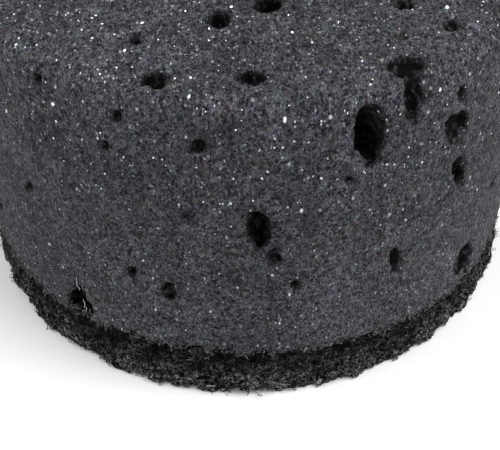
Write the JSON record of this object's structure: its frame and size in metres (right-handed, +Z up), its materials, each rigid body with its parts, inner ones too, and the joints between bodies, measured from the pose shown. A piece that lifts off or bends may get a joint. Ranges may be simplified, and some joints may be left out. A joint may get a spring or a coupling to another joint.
{
  "type": "sponge filter",
  "caption": "Air-driven round aquarium sponge filter: foam cylinder on a coarse fibre pad, weighted foot, telescopic lift tube, turning elbow, flat outlet and air barb.",
  "frame": {"origin": "centre of the face it stands on", "axes": "+Z up along the lift tube, +X the way the outlet points at rest"},
  "size_m": [0.082, 0.082, 0.1585],
  "materials": {
    "foam": "matte",
    "fibre": "matte",
    "black_plastic": "satin",
    "clear_tube": "gloss",
    "steel": "satin",
    "rubber": "matte",
    "air_stone": "matte"
  },
  "bodies": {
    "base": {"foam_body": "foam", "fibre_pad": "fibre", "base_foot": "black_plastic", "ballast_plate": "steel", "base_gaskets": "rubber", "base_cover": "black_plastic", "base_screws": "steel", "core_screw": "steel", "strainer_core": "black_plastic", "core_o_ring": "rubber", "sponge_washer": "black_plastic", "collar_nut": "black_plastic", "collar_o_ring": "rubber", "lower_lift_tube": "clear_tube", "grip_ring": "rubber"},
    "lift": {"upper_lift_tube": "clear_tube"},
    "elbow": {"outlet_elbow": "black_plastic", "gland_nut": "black_plastic", "air_pipe": "clear_tube", "pipe_guide": "black_plastic", "stone_holder": "black_plastic", "air_stone": "air_stone"},
    "nozzle": {"outlet_nozzle": "black_plastic"},
    "barb": {"air_barb": "black_plastic", "barb_o_ring": "rubber"}
  },
  "joints": [
    {"name": "tube_slide", "type": "slide", "parent": "base", "child": "lift", "axis": [0, 0, 1], "range_m": [0, 0.024]},
    {"name": "elbow_turn", "type": "hinge", "parent": "lift", "child": "elbow", "pos_m": [0, 0, 0.118], "axis": [0, 0, 1], "continuous": true},
    {"name": "nozzle_turn", "type": "hinge", "parent": "elbow", "child": "nozzle", "pos_m": [0.018, 0, 0.1358], "axis": [1, 0, 0], "continuous": true},
    {"name": "barb_turn", "type": "hinge", "parent": "elbow", "child": "barb", "pos_m": [0, 0, 0.14728], "axis": [0, 0, 1], "continuous": true}
  ]
}
